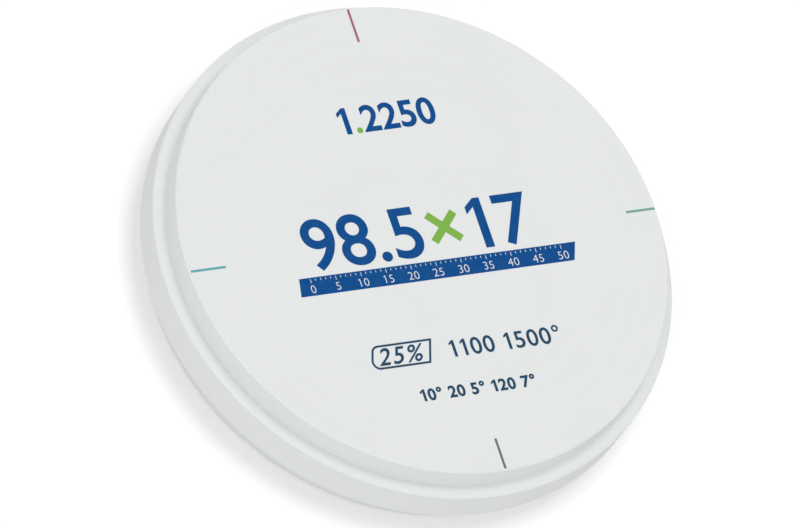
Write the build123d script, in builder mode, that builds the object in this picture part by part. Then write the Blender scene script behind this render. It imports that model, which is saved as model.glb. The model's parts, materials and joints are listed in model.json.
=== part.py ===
from build123d import *
import os

# Dental milling disc: a blank of pressed and pre-fired zirconia, turned as one piece, from which
# crowns are milled. The milling machine clamps the flange round its middle, and the two round
# plateaus stand out of the clamping ring above and below.
# Millimetres. The origin is the centre of the lower face. +Z points out of the printed face,
# +X to the green index mark and +Y to the red one.

# Blank
outer_diameter = 98.5
flange_thickness = 7.2
ledge_width = 2.55  # from the flange's rim in to the plateau's wall
upper_step = 4.9  # height of the printed plateau above the flange
lower_step = 4.9  # height of the plain plateau below the flange
edge_break = 0.3  # chamfer on each outer corner of the turned profile
root_radius = 0.3  # left by the turning tool where a ledge meets a plateau

# Print on the upper face, in face coordinates seen from above
ink_thickness = 0.05
print_centre = (0.6, -0.3)  # the print sits a little off the axis of the blank
mark_length = 6.3  # from a mark's inner end out to the edge of the face
mark_width = 0.42

bar_length = 55.9  # between the tips of the leaning ends
bar_height = 3.55
bar_left_lean = 11  # degrees from upright
bar_right_lean = 20
bar_offset = (0.3, -6.1)  # from the print's centre to the bar's

frame_length = 13.4
frame_height = 4.7
frame_lean = 18  # degrees from upright, at both ends
frame_line = 0.37
frame_corner_radius = 1.5  # of the two left corners, the right ones are sharp
frame_offset = (-12.4, -21.5)  # from the print's centre to the frame's

# Heights and radii that follow
outer_radius = outer_diameter / 2
plateau_radius = outer_radius - ledge_width
flange_bottom = lower_step
flange_top = flange_bottom + flange_thickness
face_height = flange_top + upper_step
face_radius = plateau_radius - edge_break  # of the flat that takes the print
ink_plane = Plane.XY.offset(face_height)

os.makedirs("parts", exist_ok=True)


def from_print_centre(offset):
    """A place on the upper face, given from the print's centre."""
    return (print_centre[0] + offset[0], print_centre[1] + offset[1])


# The blank: one turned profile, with its outer corners broken and its inner corners rounded
with BuildPart() as zirconia_blank:
    with BuildSketch(Plane.XZ):
        with BuildLine():
            Polyline(
                (0, 0),
                (plateau_radius, 0),
                (plateau_radius, flange_bottom),
                (outer_radius, flange_bottom),
                (outer_radius, flange_top),
                (plateau_radius, flange_top),
                (plateau_radius, face_height),
                (0, face_height),
                close=True,
            )
        make_face()
    revolve(axis=Axis.Z)
    levels = zirconia_blank.edges().filter_by(GeomType.CIRCLE).group_by(Axis.Z)
    plateau_roots = (levels[1] + levels[2]).group_by(SortBy.RADIUS)[0]
    fillet(plateau_roots, radius=root_radius)
    circles = zirconia_blank.edges().filter_by(GeomType.CIRCLE)
    flange_rims = circles.group_by(SortBy.RADIUS)[-1]
    face_rims = circles.group_by(Axis.Z)[0] + circles.group_by(Axis.Z)[-1]
    chamfer(flange_rims + face_rims, length=edge_break)
zirconia_blank.part.label = "zirconia_blank"
export_step(zirconia_blank.part, "parts/zirconia_blank.step")

# Index marks: four radial lines, each in its own colour, that run out to the edge of the face
# and show which way round the disc goes back into the machine
mark_directions = {
    "index_mark_green": 0,
    "index_mark_red": 90,
    "index_mark_blue": 180,
    "index_mark_black": 270,
}
for mark_name, direction in mark_directions.items():
    with BuildPart() as index_mark:
        with BuildSketch(ink_plane):
            with Locations(print_centre):
                with PolarLocations(face_radius, 1, start_angle=direction):
                    Rectangle(2 * mark_length, mark_width)
            Circle(face_radius, mode=Mode.INTERSECT)
        extrude(amount=ink_thickness)
    index_mark.part.label = mark_name
    export_step(index_mark.part, f"parts/{mark_name}.step")

# Bar: one dark field across the middle of the face, with leaning ends
with BuildPart() as print_bar:
    with BuildSketch(ink_plane):
        with Locations(from_print_centre(bar_offset)):
            Trapezoid(bar_length, bar_height, 90 - bar_left_lean, 90 + bar_right_lean)
    extrude(amount=ink_thickness)
print_bar.part.label = "print_bar"
export_step(print_bar.part, "parts/print_bar.step")

# Frame: the outline of a leaning box, rounded at its left end
with BuildPart() as print_frame:
    with BuildSketch(ink_plane) as outline:
        with Locations(from_print_centre(frame_offset)):
            Trapezoid(frame_length, frame_height, 90 - frame_lean, 90 + frame_lean)
        left_corners = outline.vertices().sort_by(Axis.X)[:2]
        fillet(left_corners, radius=frame_corner_radius)
        offset(amount=-frame_line, kind=Kind.INTERSECTION, mode=Mode.SUBTRACT)
    extrude(amount=ink_thickness)
print_frame.part.label = "print_frame"
export_step(print_frame.part, "parts/print_frame.step")
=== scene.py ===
import json
import math

import bmesh
import bpy
from mathutils import Matrix, Vector


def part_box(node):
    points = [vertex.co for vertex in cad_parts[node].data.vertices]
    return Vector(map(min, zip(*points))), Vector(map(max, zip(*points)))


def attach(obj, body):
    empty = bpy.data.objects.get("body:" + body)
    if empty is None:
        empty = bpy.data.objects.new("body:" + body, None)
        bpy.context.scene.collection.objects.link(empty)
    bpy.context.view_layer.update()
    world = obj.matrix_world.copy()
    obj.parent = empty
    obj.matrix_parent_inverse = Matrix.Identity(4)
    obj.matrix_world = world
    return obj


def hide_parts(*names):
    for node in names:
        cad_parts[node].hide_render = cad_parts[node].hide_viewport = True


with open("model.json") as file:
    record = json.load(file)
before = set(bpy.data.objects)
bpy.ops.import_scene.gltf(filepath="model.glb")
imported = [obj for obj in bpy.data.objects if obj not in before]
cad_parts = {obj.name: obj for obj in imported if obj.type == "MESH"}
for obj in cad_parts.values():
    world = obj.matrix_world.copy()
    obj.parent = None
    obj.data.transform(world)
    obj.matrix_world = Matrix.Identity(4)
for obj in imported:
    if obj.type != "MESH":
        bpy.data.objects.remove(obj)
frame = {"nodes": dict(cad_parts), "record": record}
bpy.context.view_layer.update()

# Dental milling disc: a chalk-white zirconia blank with coloured index marks and figures printed
# on its upper face. Metres. +Z points out of the printed face, +X to the green mark and +Y to the
# red one.

MM = 0.001

# Sizes of the blank, read from the frame
mounts = {mount["name"]: mount for mount in frame["record"]["mounts"]}
rim_radius = mounts["rim"]["dims"]["r_mm"] * MM
plateau_radius = mounts["upper_plateau"]["dims"]["r_mm"] * MM
flange_top = mounts["upper_ledge"]["pos_m"][2]
flange_bottom = mounts["lower_ledge"]["pos_m"][2]
face_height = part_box("zirconia_blank")[1].z
ink_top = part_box("print_bar")[1].z
ink_thickness = ink_top - face_height

# Colours, as linear values
zirconia_white = (0.795, 0.812, 0.81, 1)
chalk_edge_white = (0.86, 0.87, 0.87, 1)
turned_ring_white = (0.72, 0.73, 0.73, 1)
ink_navy = (0.0, 0.068, 0.255, 1)
ink_slate = (0.014, 0.06, 0.122, 1)
ink_leaf = (0.21, 0.44, 0.07, 1)
ink_red = (0.376, 0.122, 0.188, 1)
ink_green = (0.181, 0.371, 0.283, 1)
ink_teal = (0.122, 0.386, 0.413, 1)
ink_black = (0.165, 0.17, 0.168, 1)

# Noise: its middle value, and the range where most of its values lie
noise_middle = 0.5
noise_range = (0.3, 0.7)

# Chalky zirconia: fine grain over broad clouds of tone, with their sizes in metres
grain_size = 0.00025
cloud_size = 0.016
chalk_contrast = 0.03  # how far the grain and the clouds each shift the tone
cloud_rise = 0.5  # height of the clouds against the grain's
chalk_roughness = (0.82, 0.96)
chalk_sheen = 0.15
chalk_softness = 0.3
grain_relief = 0.5
chalk_relief_depth = 0.00002

# Rings that the turning tool leaves, clearer in some arcs of the face than in others
ring_pitch = 0.0007
ring_arc_scale = 45.0  # arcs to a metre
ring_arc_range = (0.35, 0.65)  # noise values of the faintest and the clearest arcs
faintest_ring = 0.35
ring_mask_range = (0.45, 0.62)  # heights at which the rings' own tone begins and is full
ring_tone = 0.09
ring_relief = 0.7

# Edges rubbed bright in a ragged band
rub_width = 0.0005
rub_scale = 900.0  # ragged places to a metre
rub_spread = (0.3, 1.3)  # narrowest and widest places, as parts of the width
rub_tone = 0.25

# Printed ink: cloudy cover with pinholes
ink_cloud_scale = 420.0  # clouds to a metre
pinhole_scale = 6500.0  # specks to a metre
thin_cover_range = (0.35, 0.75)  # noise values where the cover begins to thin and is thinnest
pinhole_range = (0.66, 0.72)  # noise values at a pinhole's edge and inside it
thin_cover = 0.012
pinhole_cover = 0.12
ink_roughness = (0.42, 0.62)
ink_sheen = 0.05
ink_relief = 0.35
ink_relief_depth = 0.00001

# Printed figures, in millimetres on the face: the left end of each line's baseline, the height and
# width of the line, the weight added to each stroke, and the lean as a shift for each step up
size_figures = {
    "text": "98.5×17",
    "start": (-23.3, -3.3),
    "height": 9.7,
    "width": 45.3,
    "weight": 0.3,
    "lean": 0.0,
}
factor_figures = {
    "text": "1.2250",
    "start": (-7.6, 22.2),
    "height": 5.0,
    "width": 18.2,
    "weight": 0.28,
    "lean": 0.0,
}
boxed_figures = {
    "text": "25%",
    "start": (-16.6, -23.42),
    "height": 3.25,
    "width": 9.4,
    "weight": 0.08,
    "lean": 0.325,
}
row_figures = {
    "text": "1100 1500°",
    "start": (-1.6, -23.6),
    "height": 3.2,
    "width": 21.4,
    "weight": 0.08,
    "lean": 0.0,
}
small_figures = {
    "text": "10° 20 5° 120 7°",
    "start": (-10.3, -31.3),
    "height": 2.15,
    "width": 22.4,
    "weight": 0.18,
    "lean": 0.0,
}

# Shape of the font's figures
digit_height = 0.685  # of the font's size
digit_pitch = 0.5  # from one figure to the next, of the font's size
digit_stroke = 0.143  # of a figure's height
curve_steps = 8  # in each curved stretch of a figure's outline
font_spacing = 1.0
wide_spacing = 1.5  # tried beside the font's own, to find the spacing that fills a line
one_kerning = -6  # in eightieths of the font's size, after each one

# Flag of a figure one: its lengths are in strokes, its slope is the fall for each step out
flag_reach = 0.95
flag_thickness = 0.85
flag_shoulder = 0.2
flag_slope = 0.8

# Films of ink, in millimetres, and how near two points are to be joined
film_thickness = ink_thickness / MM
figure_join = film_thickness / 20
bar_join = 0.0005

# Millimetre scale left bare in the bar, in millimetres
scale_span = 50
scale_step = 5  # from one figure and long tick to the next
tick_width = 0.17
tick_length = 0.45
long_tick_length = 0.8
tick_margin = 0.25
scale_figure_height = 1.55
scale_figure_margin = 0.5
scale_figure_spacing = 1.04
corner_decimals = 3  # enough to tell the bar's corners apart

# Camera: lens in millimetres, angles in degrees
photo_width = 800
photo_height = 528
camera_lens = 1000
view_azimuth = -50.33
view_elevation = 55.02
view_roll = 36.85
photo_scale = 5616  # pixels of the photograph to a metre at the flange's top plane
flange_centre_px = (413.8, 251.1)  # where the centre of that plane falls in the photograph
clip_reach = 10  # the view reaches from a tenth to ten times the camera's distance

# Light and floor: power in watts, angles in degrees, sizes in metres
world_level = 0.64
key_power = 4.5
key_size = 0.6
key_elevation = 20
top_power = 7.2
top_size = 0.6
top_elevation = 81
lamp_distance = 1.5
floor_white = 0.8
floor_glow = 0.26
floor_size = 24
floor_gap = 0.00005  # keeps the floor from lying in the plane of the disc's lower face

# Kinds of socket
FLOAT = "NodeSocketFloat"
INTEGER = "NodeSocketInt"
VECTOR = "NodeSocketVector"
COLOUR = "NodeSocketColor"
GEOMETRY = "NodeSocketGeometry"
MATERIAL = "NodeSocketMaterial"


def put(tree, kind, inputs, **settings):
    """Adds a node. Inputs are given by name or number, as values or as the sockets that feed them."""
    made = tree.nodes.new(kind)
    for name, value in settings.items():
        setattr(made, name, value)
    for name, value in inputs.items():
        if isinstance(value, bpy.types.NodeSocket):
            tree.links.new(value, made.inputs[name])
        else:
            made.inputs[name].default_value = value
    return made


def result(tree, kind, inputs, **settings):
    """Adds a node and returns its first output."""
    return put(tree, kind, inputs, **settings).outputs[0]


def calc(tree, operation, first, second):
    """The result of a sum on two numbers or sockets."""
    return result(tree, "ShaderNodeMath", {0: first, 1: second}, operation=operation)


def noise(tree, place, scale, detail, dimensions="3D"):
    """A noise value from 0 to 1."""
    given = {"Vector": place, "Scale": scale, "Detail": detail}
    return put(tree, "ShaderNodeTexNoise", given, noise_dimensions=dimensions).outputs["Fac"]


def stretch(tree, value, low, high, to_low, to_high):
    """Maps a value from one range to another, clamped at both ends."""
    given = {
        "Value": value,
        "From Min": low,
        "From Max": high,
        "To Min": to_low,
        "To Max": to_high,
    }
    return put(tree, "ShaderNodeMapRange", given).outputs["Result"]


def blend_colours(tree, factor, first, second):
    """A mix of two colours, whose sockets go by number because they share their names with others."""
    given = {"Factor": factor, 6: first, 7: second}
    return put(tree, "ShaderNodeMix", given, data_type="RGBA").outputs[2]


def bump(tree, height, strength, distance):
    """The node that gives a surface a relief of this strength and depth."""
    given = {"Height": height, "Strength": strength, "Distance": distance}
    return put(tree, "ShaderNodeBump", given)


def new_group(name, inputs, outputs, kind="ShaderNodeTree"):
    """A node group: its tree, the sockets that it is given and those that it fills."""
    tree = bpy.data.node_groups.new(name, kind)
    for label, socket in inputs:
        tree.interface.new_socket(name=label, in_out="INPUT", socket_type=socket)
    for label, socket in outputs:
        tree.interface.new_socket(name=label, in_out="OUTPUT", socket_type=socket)
    given = tree.nodes.new("NodeGroupInput").outputs
    filled = tree.nodes.new("NodeGroupOutput").inputs
    return tree, given, filled


def use_group(tree, group, inputs):
    """Places a node group in a material's tree and returns its outputs."""
    return put(tree, "ShaderNodeGroup", inputs, node_tree=group).outputs


def disc_place_group():
    """Distance from the axis and height, as one place that stays the same round a ring."""
    tree, given, filled = new_group("disc_place", [("Place", VECTOR)], [("Ring Place", VECTOR)])
    apart = put(tree, "ShaderNodeSeparateXYZ", {0: given["Place"]}).outputs
    flat = result(tree, "ShaderNodeCombineXYZ", {"X": apart["X"], "Y": apart["Y"]})
    radius = put(tree, "ShaderNodeVectorMath", {0: flat}, operation="LENGTH").outputs["Value"]
    ring = result(tree, "ShaderNodeCombineXYZ", {"X": radius, "Y": apart["Z"]})
    tree.links.new(ring, filled["Ring Place"])
    return tree


def chalk_grain_group():
    """The pressed powder's surface: fine grain over broad, faint clouds of tone."""
    inputs = [("Place", VECTOR), ("Colour", COLOUR)]
    inputs += [("Grain Size", FLOAT), ("Cloud Size", FLOAT), ("Contrast", FLOAT)]
    outputs = [("Colour", COLOUR), ("Roughness", FLOAT), ("Height", FLOAT)]
    tree, given, filled = new_group("chalk_grain", inputs, outputs)
    grain_scale = calc(tree, "DIVIDE", 1.0, given["Grain Size"])
    grain = noise(tree, given["Place"], grain_scale, detail=3.0)
    cloud_scale = calc(tree, "DIVIDE", 1.0, given["Cloud Size"])
    cloud = noise(tree, given["Place"], cloud_scale, detail=4.0)
    grain_shift = calc(tree, "SUBTRACT", grain, noise_middle)
    grain_tone = calc(tree, "MULTIPLY", grain_shift, given["Contrast"])
    cloud_shift = calc(tree, "SUBTRACT", cloud, noise_middle)
    cloud_tone = calc(tree, "MULTIPLY", cloud_shift, given["Contrast"])
    tone = calc(tree, "ADD", calc(tree, "ADD", grain_tone, cloud_tone), 1.0)
    toned = {0: given["Colour"], "Scale": tone}
    colour = result(tree, "ShaderNodeVectorMath", toned, operation="SCALE")
    height = calc(tree, "ADD", grain, calc(tree, "MULTIPLY", cloud, cloud_rise))
    tree.links.new(colour, filled["Colour"])
    tree.links.new(stretch(tree, grain, *noise_range, *chalk_roughness), filled["Roughness"])
    tree.links.new(height, filled["Height"])
    return tree


def turned_rings_group():
    """Faint rings that the turning tool leaves, stronger in some arcs than in others."""
    inputs = [("Place", VECTOR), ("Ring Place", VECTOR), ("Pitch", FLOAT)]
    tree, given, filled = new_group("turned_rings", inputs, [("Height", FLOAT), ("Mask", FLOAT)])
    ring_scale = calc(tree, "DIVIDE", 1.0, given["Pitch"])
    rings = noise(tree, given["Ring Place"], ring_scale, detail=2.0, dimensions="2D")
    arc_noise = noise(tree, given["Place"], ring_arc_scale, detail=1.0)
    arcs = stretch(tree, arc_noise, *ring_arc_range, faintest_ring, 1.0)
    height = calc(tree, "MULTIPLY", rings, arcs)
    tree.links.new(height, filled["Height"])
    tree.links.new(stretch(tree, height, *ring_mask_range, 0.0, 1.0), filled["Mask"])
    return tree


def edge_chalk_group():
    """Where a turned edge is rubbed bright: a ragged band close to the edge's ring."""
    inputs = [("Place", VECTOR), ("Ring Place", VECTOR), ("Edge", VECTOR), ("Width", FLOAT)]
    tree, given, filled = new_group("edge_chalk", inputs, [("Mask", FLOAT)])
    ends = {0: given["Ring Place"], 1: given["Edge"]}
    away = put(tree, "ShaderNodeVectorMath", ends, operation="DISTANCE").outputs["Value"]
    ragged = noise(tree, given["Place"], rub_scale, detail=3.0)
    spread = stretch(tree, ragged, *noise_range, *rub_spread)
    width = calc(tree, "MULTIPLY", given["Width"], spread)
    near = calc(tree, "SUBTRACT", 1.0, calc(tree, "DIVIDE", away, width))
    tree.links.new(calc(tree, "MAXIMUM", near, 0.0), filled["Mask"])
    return tree


def ink_film_group():
    """Pad-printed ink on chalk: slightly cloudy cover, with pinholes where the ground shows."""
    inputs = [("Place", VECTOR), ("Ink", COLOUR), ("Ground", COLOUR)]
    inputs += [("Thin Cover", FLOAT), ("Pinholes", FLOAT)]
    outputs = [("Colour", COLOUR), ("Roughness", FLOAT), ("Height", FLOAT)]
    tree, given, filled = new_group("ink_film", inputs, outputs)
    cloud = noise(tree, given["Place"], ink_cloud_scale, detail=4.0)
    speck = noise(tree, given["Place"], pinhole_scale, detail=2.0)
    thinning = stretch(tree, cloud, *thin_cover_range, 0.0, 1.0)
    thin = calc(tree, "MULTIPLY", thinning, given["Thin Cover"])
    holes = stretch(tree, speck, *pinhole_range, 0.0, 1.0)
    hole = calc(tree, "MULTIPLY", holes, given["Pinholes"])
    bare = calc(tree, "MAXIMUM", thin, hole)
    tree.links.new(blend_colours(tree, bare, given["Ink"], given["Ground"]), filled["Colour"])
    tree.links.new(stretch(tree, cloud, *noise_range, *ink_roughness), filled["Roughness"])
    tree.links.new(calc(tree, "SUBTRACT", speck, bare), filled["Height"])
    return tree


disc_place = disc_place_group()
chalk_grain = chalk_grain_group()
turned_rings = turned_rings_group()
edge_chalk = edge_chalk_group()
ink_film = ink_film_group()


def blank_material(name):
    """A material with its node tree, its shader and the object's own coordinates."""
    material = bpy.data.materials.new(name)
    material.use_nodes = True
    tree = material.node_tree
    shader = tree.nodes["Principled BSDF"]
    place = tree.nodes.new("ShaderNodeTexCoord").outputs["Object"]
    return material, tree, shader, place


def rubbed_edges(tree, place, ring_place):
    """One mask for the four turned edges of the blank."""
    rubbed = 0.0
    for radius, height in (
        (rim_radius, flange_top),
        (rim_radius, flange_bottom),
        (plateau_radius, face_height),
        (plateau_radius, 0.0),
    ):
        edge = {
            "Place": place,
            "Ring Place": ring_place,
            "Edge": (radius, height, 0.0),
            "Width": rub_width,
        }
        rubbed = calc(tree, "MAXIMUM", rubbed, use_group(tree, edge_chalk, edge)["Mask"])
    return rubbed


def zirconia_material():
    """Chalky pre-fired zirconia, matte, with faint turned rings and rubbed edges."""
    material, tree, shader, place = blank_material("chalky_zirconia")
    ring_place = use_group(tree, disc_place, {"Place": place})["Ring Place"]
    powder = {
        "Place": place,
        "Colour": zirconia_white,
        "Grain Size": grain_size,
        "Cloud Size": cloud_size,
        "Contrast": chalk_contrast,
    }
    chalk = use_group(tree, chalk_grain, powder)
    turning = {"Place": place, "Ring Place": ring_place, "Pitch": ring_pitch}
    rings = use_group(tree, turned_rings, turning)
    ringed_share = calc(tree, "MULTIPLY", rings["Mask"], ring_tone)
    ringed = blend_colours(tree, ringed_share, chalk["Colour"], turned_ring_white)
    rubbed_share = calc(tree, "MULTIPLY", rubbed_edges(tree, place, ring_place), rub_tone)
    colour = blend_colours(tree, rubbed_share, ringed, chalk_edge_white)
    grain_bump = bump(tree, chalk["Height"], grain_relief, chalk_relief_depth)
    ring_bump = bump(tree, rings["Height"], ring_relief, chalk_relief_depth)
    tree.links.new(grain_bump.outputs[0], ring_bump.inputs["Normal"])
    tree.links.new(colour, shader.inputs["Base Color"])
    tree.links.new(chalk["Roughness"], shader.inputs["Roughness"])
    tree.links.new(ring_bump.outputs[0], shader.inputs["Normal"])
    shader.inputs["Specular IOR Level"].default_value = chalk_sheen
    shader.inputs["Diffuse Roughness"].default_value = chalk_softness
    return material


def ink_material(name, ink):
    """A printed ink film in one colour."""
    material, tree, shader, place = blank_material(name)
    print_on_chalk = {
        "Place": place,
        "Ink": ink,
        "Ground": zirconia_white,
        "Thin Cover": thin_cover,
        "Pinholes": pinhole_cover,
    }
    film = use_group(tree, ink_film, print_on_chalk)
    film_bump = bump(tree, film["Height"], ink_relief, ink_relief_depth)
    tree.links.new(film["Colour"], shader.inputs["Base Color"])
    tree.links.new(film["Roughness"], shader.inputs["Roughness"])
    tree.links.new(film_bump.outputs[0], shader.inputs["Normal"])
    shader.inputs["Specular IOR Level"].default_value = ink_sheen
    return material


zirconia = zirconia_material()
navy = ink_material("printed_navy", ink_navy)
slate = ink_material("printed_slate", ink_slate)
leaf = ink_material("printed_leaf_green", ink_leaf)


def dress(node, material):
    """Gives a CAD node its finish."""
    slots = frame["nodes"][node].data.materials
    slots.clear()
    slots.append(material)


dress("zirconia_blank", zirconia)
dress("index_mark_red", ink_material("printed_red", ink_red))
dress("index_mark_green", ink_material("printed_green", ink_green))
dress("index_mark_blue", ink_material("printed_teal", ink_teal))
dress("index_mark_black", ink_material("printed_black", ink_black))
dress("print_frame", slate)


def add_object(name, data):
    """An object in the scene with this mesh, text, light or camera."""
    made = bpy.data.objects.new(name, data)
    bpy.context.scene.collection.objects.link(made)
    return made


def finished_mesh(holder):
    """What an object looks like with its text or its modifier worked out, as a plain mesh."""
    worked_out = holder.evaluated_get(bpy.context.evaluated_depsgraph_get())
    return bpy.data.meshes.new_from_object(worked_out)


def add_piece(name, mesh, material, replaced=()):
    """Makes a finished mesh, already in its place, a piece of the disc."""
    mesh.name = name
    mesh.materials.clear()
    mesh.materials.append(material)
    piece = add_object(name, mesh)
    if replaced:
        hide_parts(*replaced)
    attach(piece, "root")


def close_and_place(mesh, place):
    """Joins an outline's walls to its faces and moves the mesh, made in millimetres, to its place."""
    form = bmesh.new()
    form.from_mesh(mesh)
    bmesh.ops.remove_doubles(form, verts=form.verts, dist=figure_join)
    bmesh.ops.recalc_face_normals(form, faces=form.faces)
    form.to_mesh(mesh)
    form.free()
    mesh.transform(place)
    return mesh


def one_outline(stroke, height):
    """The outline of a figure one with a flag: its stem stands on nought, centred."""
    left = -stroke / 2
    right = stroke / 2
    head = left + stroke * flag_shoulder
    tip = left - stroke * flag_reach
    drop = flag_slope * (head - tip)
    under = flag_thickness * stroke
    return [
        (left, 0.0),
        (right, 0.0),
        (right, height),
        (head, height),
        (tip, height - drop),
        (tip, height - drop - under),
        (left, height - flag_slope * (head - left) - under),
    ]


def add_film(form, outline, shift):
    """Adds a film of ink with this outline, half of its thickness below nought and half above."""
    places = [(x + shift[0], y + shift[1]) for x, y in outline]
    low = [form.verts.new((x, y, -film_thickness / 2)) for x, y in places]
    high = [form.verts.new((x, y, film_thickness / 2)) for x, y in places]
    form.faces.new(low[::-1])
    form.faces.new(high)
    for index in range(len(places)):
        form.faces.new((low[index - 1], low[index], high[index], high[index - 1]))


def flag_the_one(form, letter):
    """Draws a one with a flag in place of the font's plain stem."""
    across = [vertex.co.x for face in letter for vertex in face.verts]
    along = [vertex.co.y for face in letter for vertex in face.verts]
    stroke = max(across) - min(across)
    height = max(along) - min(along)
    foot = ((min(across) + max(across)) / 2, min(along))
    bmesh.ops.delete(form, geom=letter, context="FACES")
    add_film(form, one_outline(stroke, height), foot)


def set_spacing(line, spacing):
    """Spaces the letters of a line of text and returns the line's width."""
    line.data.space_character = spacing
    bpy.context.view_layer.update()
    return line.dimensions.x


def fill_width(line, width):
    """Spaces a line of text to this width, judged by its widths at two spacings."""
    narrow = set_spacing(line, font_spacing)
    wide = set_spacing(line, wide_spacing)
    share = (width - narrow) / (wide - narrow)
    set_spacing(line, font_spacing + (wide_spacing - font_spacing) * share)


def text_line(figures):
    """A line of figures as text. Each letter has a material number of its own, to be found by."""
    curve = bpy.data.curves.new("figures", "FONT")
    curve.body = figures["text"]
    curve.size = figures["height"] / digit_height
    curve.offset = figures["weight"] / 2
    curve.shear = figures["lean"]
    curve.extrude = film_thickness / 2
    curve.resolution_u = curve_steps
    for index, letter in enumerate(curve.body_format):
        curve.materials.append(navy)
        letter.material_index = index
        if figures["text"][index] == "1":
            letter.kerning = one_kerning
    line = add_object("figures", curve)
    fill_width(line, figures["width"])
    return line


def figure_mesh(figures, kept):
    """One line of figures as a film of ink: only the letters whose index is kept."""
    line = text_line(figures)
    mesh = finished_mesh(line)
    left_end = min(vertex.co.x for vertex in mesh.vertices)
    form = bmesh.new()
    form.from_mesh(mesh)
    for index, character in enumerate(figures["text"]):
        letter = [face for face in form.faces if face.material_index == index]
        if index not in kept:
            bmesh.ops.delete(form, geom=letter, context="FACES")
        elif character == "1":
            flag_the_one(form, letter)
    form.to_mesh(mesh)
    form.free()
    curve = line.data
    bpy.data.objects.remove(line)
    bpy.data.curves.remove(curve)
    x, y = figures["start"]
    start = Matrix.Translation((x * MM, y * MM, face_height + ink_thickness / 2))
    return close_and_place(mesh, start @ Matrix.Scale(MM, 4) @ Matrix.Translation((-left_end, 0, 0)))


def print_figures(name, figures, material, accent=""):
    """Prints a line of figures, and its accent in leaf green as a piece of its own."""
    text = figures["text"]
    accents = [index for index, letter in enumerate(text) if letter in accent]
    plain = [index for index in range(len(text)) if index not in accents]
    add_piece(name, figure_mesh(figures, plain), material)
    if accents:
        add_piece(name + "_accent", figure_mesh(figures, accents), leaf)


def join(tree, parts):
    """Several shapes as one."""
    joined = tree.nodes.new("GeometryNodeJoinGeometry")
    for part in parts:
        tree.links.new(part, joined.inputs[0])
    return joined.outputs[0]


def scale_ticks(tree, given):
    """Ticks a millimetre apart, which hang from a line near the bar's upper edge."""
    run = {
        "Count": calc(tree, "ADD", given["Divisions"], 1.0),
        "Start Location": given["Scale Start"],
        "Offset": (1.0, 0.0, 0.0),
    }
    places = result(tree, "GeometryNodeMeshLine", run, mode="OFFSET")
    number = tree.nodes.new("GeometryNodeInputIndex").outputs[0]
    since_long = calc(tree, "MODULO", number, given["Long Every"])
    is_long = calc(tree, "LESS_THAN", since_long, 0.5)
    length = stretch(tree, is_long, 0.0, 1.0, given["Tick Length"], given["Long Tick Length"])
    shape = {"Width": given["Tick Width"], "Height": 1.0}
    tick = result(tree, "GeometryNodeCurvePrimitiveQuadrilateral", shape)
    lowered = {"Geometry": tick, "Translation": (0.0, -0.5, 0.0)}
    hanging = result(tree, "GeometryNodeTransform", lowered)
    size = result(tree, "ShaderNodeCombineXYZ", {"X": 1.0, "Y": length, "Z": 1.0})
    ticks = {"Points": places, "Instance": hanging, "Scale": size}
    return result(tree, "GeometryNodeInstanceOnPoints", ticks)


def scale_figures(tree, given):
    """The outlines of the scale's figures: each figure is drawn once and copied to its places."""
    one = result(tree, "GeometryNodeMeshToCurve", {"Mesh": given["One"]})
    enlarged = {0: (1.0, 1.0, 1.0), "Scale": given["Figure Height"]}
    one_scale = result(tree, "ShaderNodeVectorMath", enlarged, operation="SCALE")
    shapes = {"1": result(tree, "GeometryNodeTransform", {"Geometry": one, "Scale": one_scale})}
    font_size = calc(tree, "DIVIDE", given["Figure Height"], digit_height)
    pitch = digit_pitch * scale_figure_spacing * scale_figure_height / digit_height
    copies = []
    for value in range(0, scale_span + 1, scale_step):
        text = str(value)
        for index, character in enumerate(text):
            if character not in shapes:
                letter = {"String": character, "Size": font_size}
                drawn = result(tree, "GeometryNodeStringToCurves", letter, align_x="CENTER")
                shapes[character] = drawn
            step = (value + (index - (len(text) - 1) / 2) * pitch, 0.0, 0.0)
            ends = {0: given["Figure Start"], 1: step}
            spot = result(tree, "ShaderNodeVectorMath", ends, operation="ADD")
            moved = {"Geometry": shapes[character], "Translation": spot}
            copies.append(result(tree, "GeometryNodeTransform", moved))
    return copies


def closed_film(tree, given, outlines):
    """The field between the outlines, raised to the film's thickness and closed underneath."""
    base = result(tree, "GeometryNodeFillCurve", {"Curve": outlines})
    rise = result(tree, "ShaderNodeCombineXYZ", {"Z": given["Thickness"]})
    lift = {"Mesh": base, "Offset": rise, "Individual": False}
    raised = result(tree, "GeometryNodeExtrudeMesh", lift)
    under = result(tree, "GeometryNodeFlipFaces", {"Mesh": base})
    both = join(tree, (raised, under))
    return result(tree, "GeometryNodeMergeByDistance", {"Geometry": both, "Distance": bar_join})


def scale_tree():
    """The tree that makes the bar: a field of ink that leaves a millimetre scale bare."""
    corner_names = ("Left Foot", "Right Foot", "Right Head", "Left Head")
    size_names = ("Tick Width", "Tick Length", "Long Tick Length", "Figure Height", "Thickness")
    inputs = [("One", GEOMETRY)]
    inputs += [(name, VECTOR) for name in (*corner_names, "Scale Start", "Figure Start")]
    inputs += [(name, INTEGER) for name in ("Divisions", "Long Every")]
    inputs += [(name, FLOAT) for name in size_names]
    inputs += [("Material", MATERIAL)]
    outputs = [("Geometry", GEOMETRY)]
    tree, given, filled = new_group("bar_scale", inputs, outputs, "GeometryNodeTree")
    points = {f"Point {number}": given[name] for number, name in enumerate(corner_names, start=1)}
    field = result(tree, "GeometryNodeCurvePrimitiveQuadrilateral", points, mode="POINTS")
    parts = [field, scale_ticks(tree, given), *scale_figures(tree, given)]
    outlines = result(tree, "GeometryNodeRealizeInstances", {"Geometry": join(tree, parts)})
    film = closed_film(tree, given, outlines)
    solid = result(tree, "GeometryNodeRealizeInstances", {"Geometry": film})
    inking = {"Geometry": solid, "Material": given["Material"]}
    inked = result(tree, "GeometryNodeSetMaterial", inking)
    tree.links.new(inked, filled["Geometry"])
    return tree


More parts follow.
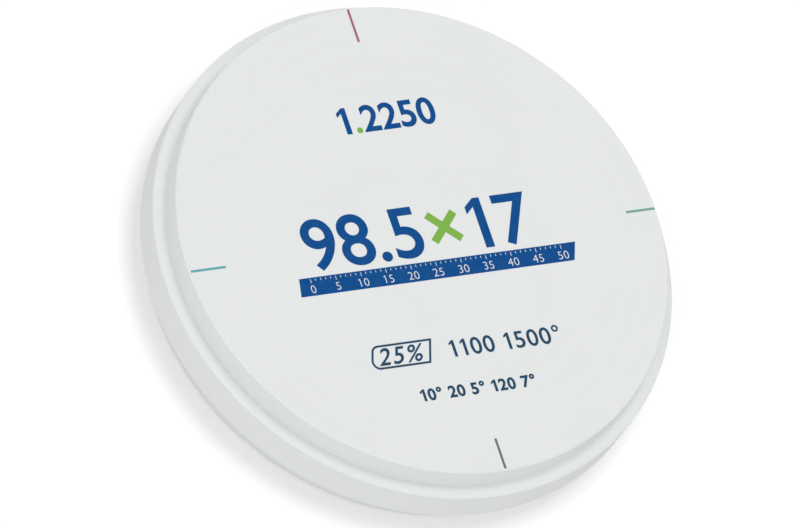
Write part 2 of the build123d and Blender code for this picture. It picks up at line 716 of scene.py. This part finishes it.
def outline_mesh(name, outline):
    """A closed run of edges."""
    mesh = bpy.data.meshes.new(name)
    count = len(outline)
    places = [(x, y, 0.0) for x, y in outline]
    edges = [(index, (index + 1) % count) for index in range(count)]
    mesh.from_pydata(places, edges, [])
    return mesh


def grown_mesh(tree, start, values):
    """What a node tree with these named inputs makes of a starting mesh, as a plain mesh."""
    holder = add_object(tree.name, start)
    modifier = holder.modifiers.new(tree.name, "NODES")
    modifier.node_group = tree
    for item in tree.interface.items_tree:
        if item.in_out == "INPUT" and item.name in values:
            modifier[item.identifier] = values[item.name]
    bpy.context.view_layer.update()
    mesh = finished_mesh(holder)
    holder.modifiers.remove(modifier)
    bpy.data.objects.remove(holder)
    bpy.data.meshes.remove(start)
    return mesh


def bar_corners():
    """The four corners of the bar in millimetres, from the left foot round to the left head."""
    bar = frame["nodes"]["print_bar"]
    places = set()
    for vertex in bar.data.vertices:
        corner = bar.matrix_world @ vertex.co
        x = round(corner.x / MM, corner_decimals)
        y = round(corner.y / MM, corner_decimals)
        places.add((x, y))
    middle = sum(y for x, y in places) / len(places)
    foot = sorted(place for place in places if place[1] < middle)
    head = sorted((place for place in places if place[1] > middle), reverse=True)
    return [(x, y, 0.0) for x, y in (foot[0], foot[-1], head[0], head[-1])]


def scale_bar_mesh():
    """The bar with its scale, which is centred between the bar's leaning ends."""
    bar = bar_corners()
    scale_start = sum(x for x, y, z in bar) / len(bar) - scale_span / 2
    bar_foot = bar[0][1]
    bar_head = bar[2][1]
    values = {
        "Left Foot": bar[0],
        "Right Foot": bar[1],
        "Right Head": bar[2],
        "Left Head": bar[3],
        "Scale Start": (scale_start, bar_head - tick_margin, 0.0),
        "Figure Start": (scale_start, bar_foot + scale_figure_margin, 0.0),
        "Divisions": scale_span,
        "Long Every": scale_step,
        "Tick Width": tick_width,
        "Tick Length": tick_length,
        "Long Tick Length": long_tick_length,
        "Figure Height": scale_figure_height,
        "Thickness": film_thickness,
        "Material": navy,
    }
    figure_one = outline_mesh("figure_one", one_outline(digit_stroke, 1.0))
    mesh = grown_mesh(scale_tree(), figure_one, values)
    mesh.transform(Matrix.Translation((0, 0, face_height)) @ Matrix.Scale(MM, 4))
    return mesh


add_piece("scale_bar", scale_bar_mesh(), navy, replaced=("print_bar",))
print_figures("size_figures", size_figures, navy, accent="×")
print_figures("factor_figures", factor_figures, navy, accent=".")
print_figures("boxed_figures", boxed_figures, slate)
print_figures("row_figures", row_figures, slate)
print_figures("small_figures", small_figures, slate)

# Floor
floor_reach = floor_size / 2
floor_corners = [
    (-floor_reach, -floor_reach, -floor_gap),
    (floor_reach, -floor_reach, -floor_gap),
    (floor_reach, floor_reach, -floor_gap),
    (-floor_reach, floor_reach, -floor_gap),
]
floor_mesh = bpy.data.meshes.new("floor")
floor_mesh.from_pydata(floor_corners, [], [(0, 1, 2, 3)])
floor = add_object("floor", floor_mesh)


def seen_directly(tree):
    """One where the camera sees a surface, straight or by reflection or glass, otherwise nought."""
    rays = tree.nodes.new("ShaderNodeLightPath").outputs
    mirrored = calc(tree, "MAXIMUM", rays["Is Glossy Ray"], rays["Is Transmission Ray"])
    return calc(tree, "MAXIMUM", rays["Is Camera Ray"], mirrored)


# The floor's finish: matte white, with a glow that shows only where the floor is seen
floor_material = bpy.data.materials.new("white_floor")
floor_material.use_nodes = True
floor_tree = floor_material.node_tree
floor_shader = floor_tree.nodes["Principled BSDF"]
floor_shader.inputs["Base Color"].default_value = (floor_white, floor_white, floor_white, 1)
floor_shader.inputs["Roughness"].default_value = 1.0
floor_shader.inputs["Specular IOR Level"].default_value = 0.0
floor_shader.inputs["Emission Color"].default_value = (1, 1, 1, 1)
glow = calc(floor_tree, "MULTIPLY", seen_directly(floor_tree), floor_glow)
floor_tree.links.new(glow, floor_shader.inputs["Emission Strength"])
floor_mesh.materials.append(floor_material)

# World: soft white light all round, and plain white where it is seen
world = bpy.data.worlds.new("studio")
bpy.context.scene.world = world
world.use_nodes = True
background = world.node_tree.nodes["Background"]
background.inputs["Color"].default_value = (1, 1, 1, 1)
level = stretch(world.node_tree, seen_directly(world.node_tree), 0.0, 1.0, world_level, 1.0)
world.node_tree.links.new(level, background.inputs["Strength"])


def direction(azimuth, elevation):
    """The unit vector towards a viewer, who looks along +Y when the azimuth is nought."""
    turn = math.radians(azimuth)
    rise = math.radians(elevation)
    across = math.cos(rise)
    return Vector((math.sin(turn) * across, -math.cos(turn) * across, math.sin(rise)))


def soft_panel(name, power, size, azimuth, elevation):
    """A square light panel that faces the disc from one side."""
    panel = bpy.data.lights.new(name, "AREA")
    panel.shape = "SQUARE"
    panel.size = size
    panel.energy = power
    way = direction(azimuth, elevation)
    holder = add_object(name, panel)
    holder.location = way * lamp_distance
    holder.rotation_mode = "QUATERNION"
    holder.rotation_quaternion = way.to_track_quat("Z", "Y")


# The key light stands low on the viewer's side, and the top light leans a little from behind
soft_panel("key", key_power, key_size, view_azimuth, key_elevation)
soft_panel("top", top_power, top_size, view_azimuth + 180, top_elevation)

# Camera: a long lens, turned about its own axis as the photograph is
camera = bpy.data.cameras.new("camera")
camera.lens = camera_lens
camera_object = add_object("camera", camera)
bpy.context.scene.camera = camera_object
back = direction(view_azimuth, view_elevation)
level_view = back.to_track_quat("Z", "Y").to_matrix().to_4x4()
turned_view = level_view @ Matrix.Rotation(math.radians(view_roll), 4, "Z")
right = turned_view.col[0].xyz
up = turned_view.col[1].xyz
distance = camera_lens / camera.sensor_width * photo_width / photo_scale
offset_right = (flange_centre_px[0] - photo_width / 2) / photo_scale
offset_down = (flange_centre_px[1] - photo_height / 2) / photo_scale
aim = Vector((0, 0, flange_top)) - right * offset_right + up * offset_down
camera_object.matrix_world = Matrix.Translation(aim + back * distance) @ turned_view
camera.clip_start = distance / clip_reach
camera.clip_end = distance * clip_reach

bpy.context.scene.view_settings.view_transform = "Standard"
